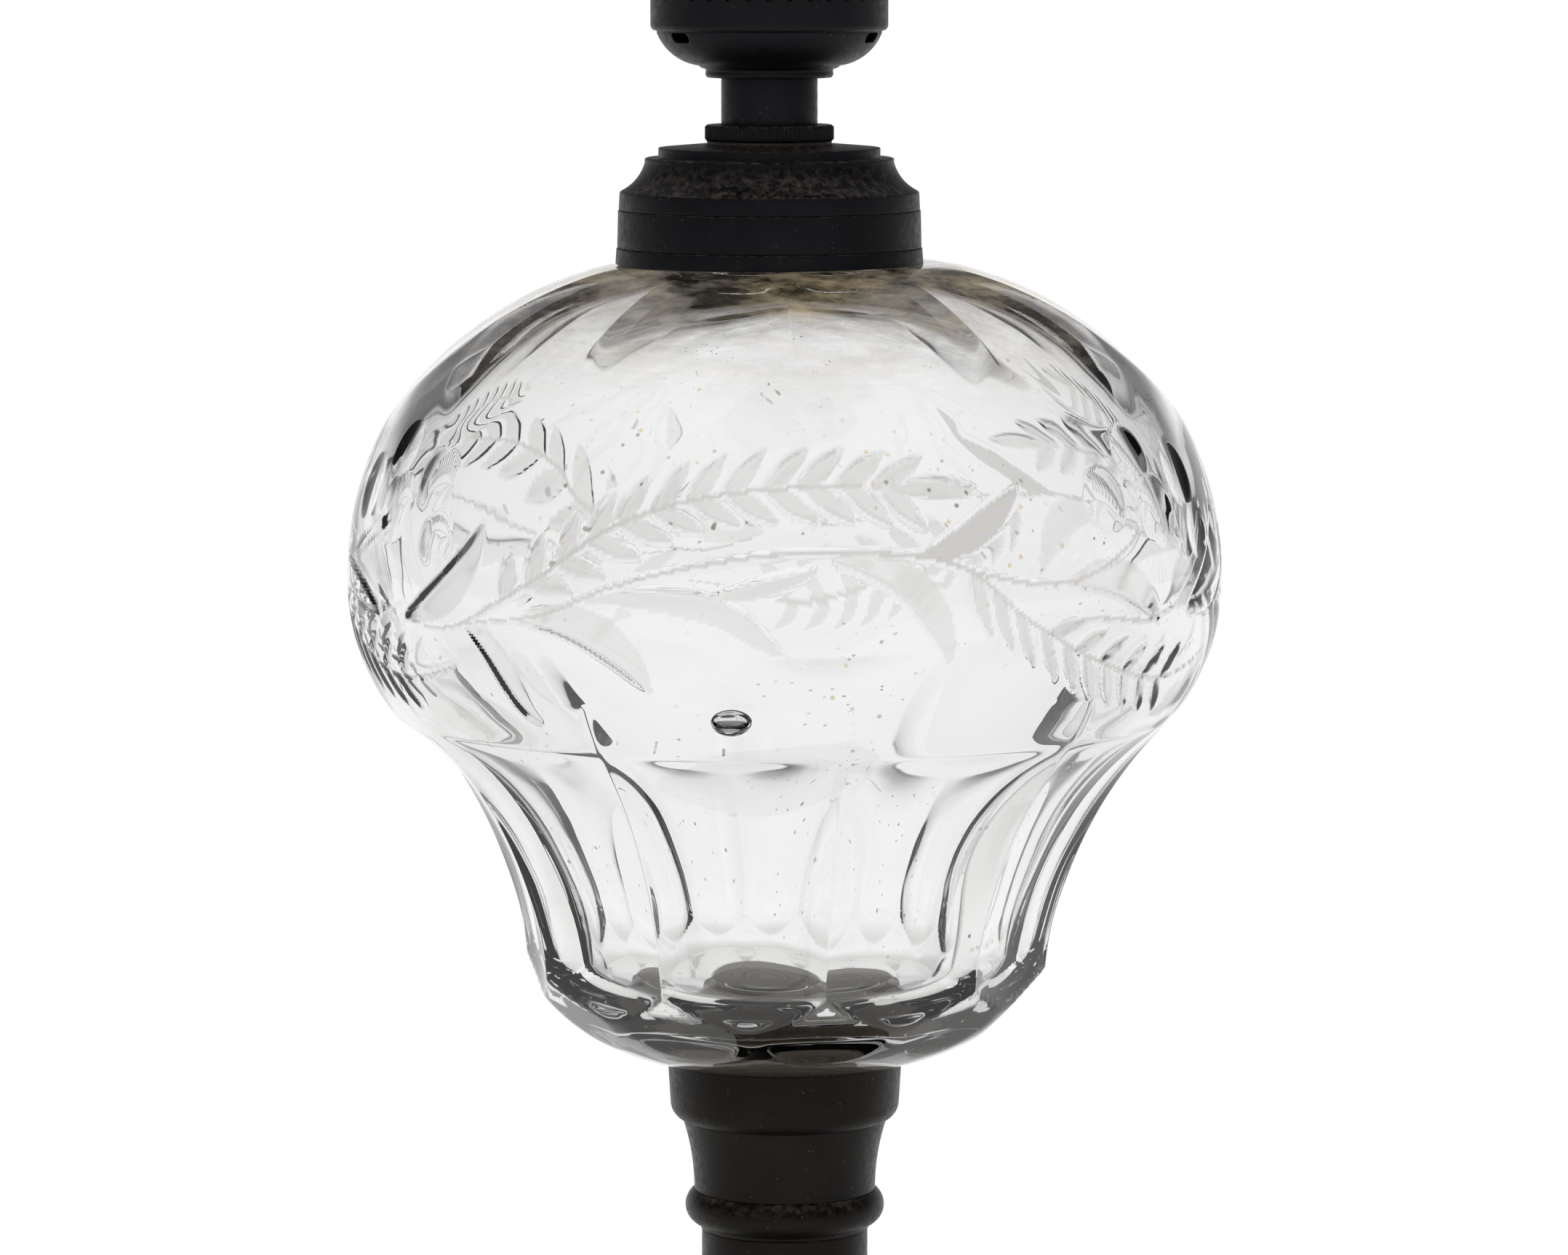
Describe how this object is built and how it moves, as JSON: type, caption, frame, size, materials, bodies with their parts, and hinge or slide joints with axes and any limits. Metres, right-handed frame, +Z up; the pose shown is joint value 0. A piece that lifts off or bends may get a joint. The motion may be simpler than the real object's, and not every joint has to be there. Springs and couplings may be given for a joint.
{
  "type": "kerosene table lamp",
  "caption": "Table oil lamp: cut-glass font on a turned dark metal stem and stepped foot, with collar, flat-wick burner, winder and glass chimney.",
  "frame": {"origin": "centre of the baize face under the foot, which rests on the table", "axes": "+Z up along the lamp's axis; -Y to the front seen in the picture; +X to its right"},
  "size_m": [0.1605, 0.1604, 0.5922],
  "materials": {
    "baize": "woollen baize",
    "bronzed_brass": "dark bronzed and dulled, dusty",
    "stem_bronze": "dark bronzed, worn brown at the edges",
    "iron": "rough casting, blackened",
    "steel": "plain turned steel, dull",
    "plaster": "old cement, yellowed",
    "cut_glass": "clear lead glass, cut and wheel-engraved",
    "chimney_glass": "thin clear blown glass",
    "washer_leather": "oiled leather",
    "inner_brass": "unlacquered, oil-stained",
    "cotton": "woven cotton, charred at the top"
  },
  "bodies": {
    "stand": {"foot_felt": "baize", "foot": "stem_bronze", "foot_weight": "iron", "tie_rod": "steel", "rod_washer": "steel", "rod_nut": "steel", "stem_base": "stem_bronze", "stem_shaft": "stem_bronze", "stem_bead": "stem_bronze", "stem_capital": "stem_bronze", "font_socket": "stem_bronze", "font_cement": "plaster", "font": "cut_glass", "collar_cement": "plaster", "collar_skirt": "bronzed_brass", "collar_ring": "bronzed_brass", "collar_cap": "bronzed_brass"},
    "washer": {"burner_washer": "washer_leather"},
    "burner": {"burner_base": "bronzed_brass", "burner_neck": "bronzed_brass", "burner_bowl": "bronzed_brass", "burner_basket": "bronzed_brass", "air_diffuser": "inner_brass", "wick_tube": "inner_brass", "spindle_sleeve": "inner_brass", "gallery": "bronzed_brass", "gallery_prongs": "bronzed_brass", "flame_deflector": "inner_brass"},
    "winder": {"wick_spindle": "inner_brass", "wick_wheels": "inner_brass", "winder_knob": "inner_brass"},
    "wick": {"wick": "cotton"},
    "chimney": {"chimney": "chimney_glass"}
  },
  "joints": [
    {"name": "burner_lift", "type": "slide", "parent": "stand", "child": "washer", "axis": [0, 0, 1], "range_m": [0, 0.12]},
    {"name": "burner_turn", "type": "hinge", "parent": "washer", "child": "burner", "pos_m": [-0.0028, 0, 0.3595], "axis": [0, 0, 1], "range_deg": [0, 990]},
    {"name": "winder_turn", "type": "hinge", "parent": "burner", "child": "winder", "pos_m": [-0.0028, 0.0054, 0.3921], "axis": [-1, 0, 0], "range_deg": [-100, 75]},
    {"name": "wick_rise", "type": "slide", "parent": "burner", "child": "wick", "axis": [0, 0, 1], "range_m": [-0.0079, 0.0059]},
    {"name": "chimney_lift", "type": "slide", "parent": "burner", "child": "chimney", "axis": [0, 0, 1], "range_m": [0, 0.2]}
  ],
  "couplings": [
    {"joint": "wick_rise", "follows": "winder_turn", "m_per_rad": 0.0045}
  ]
}
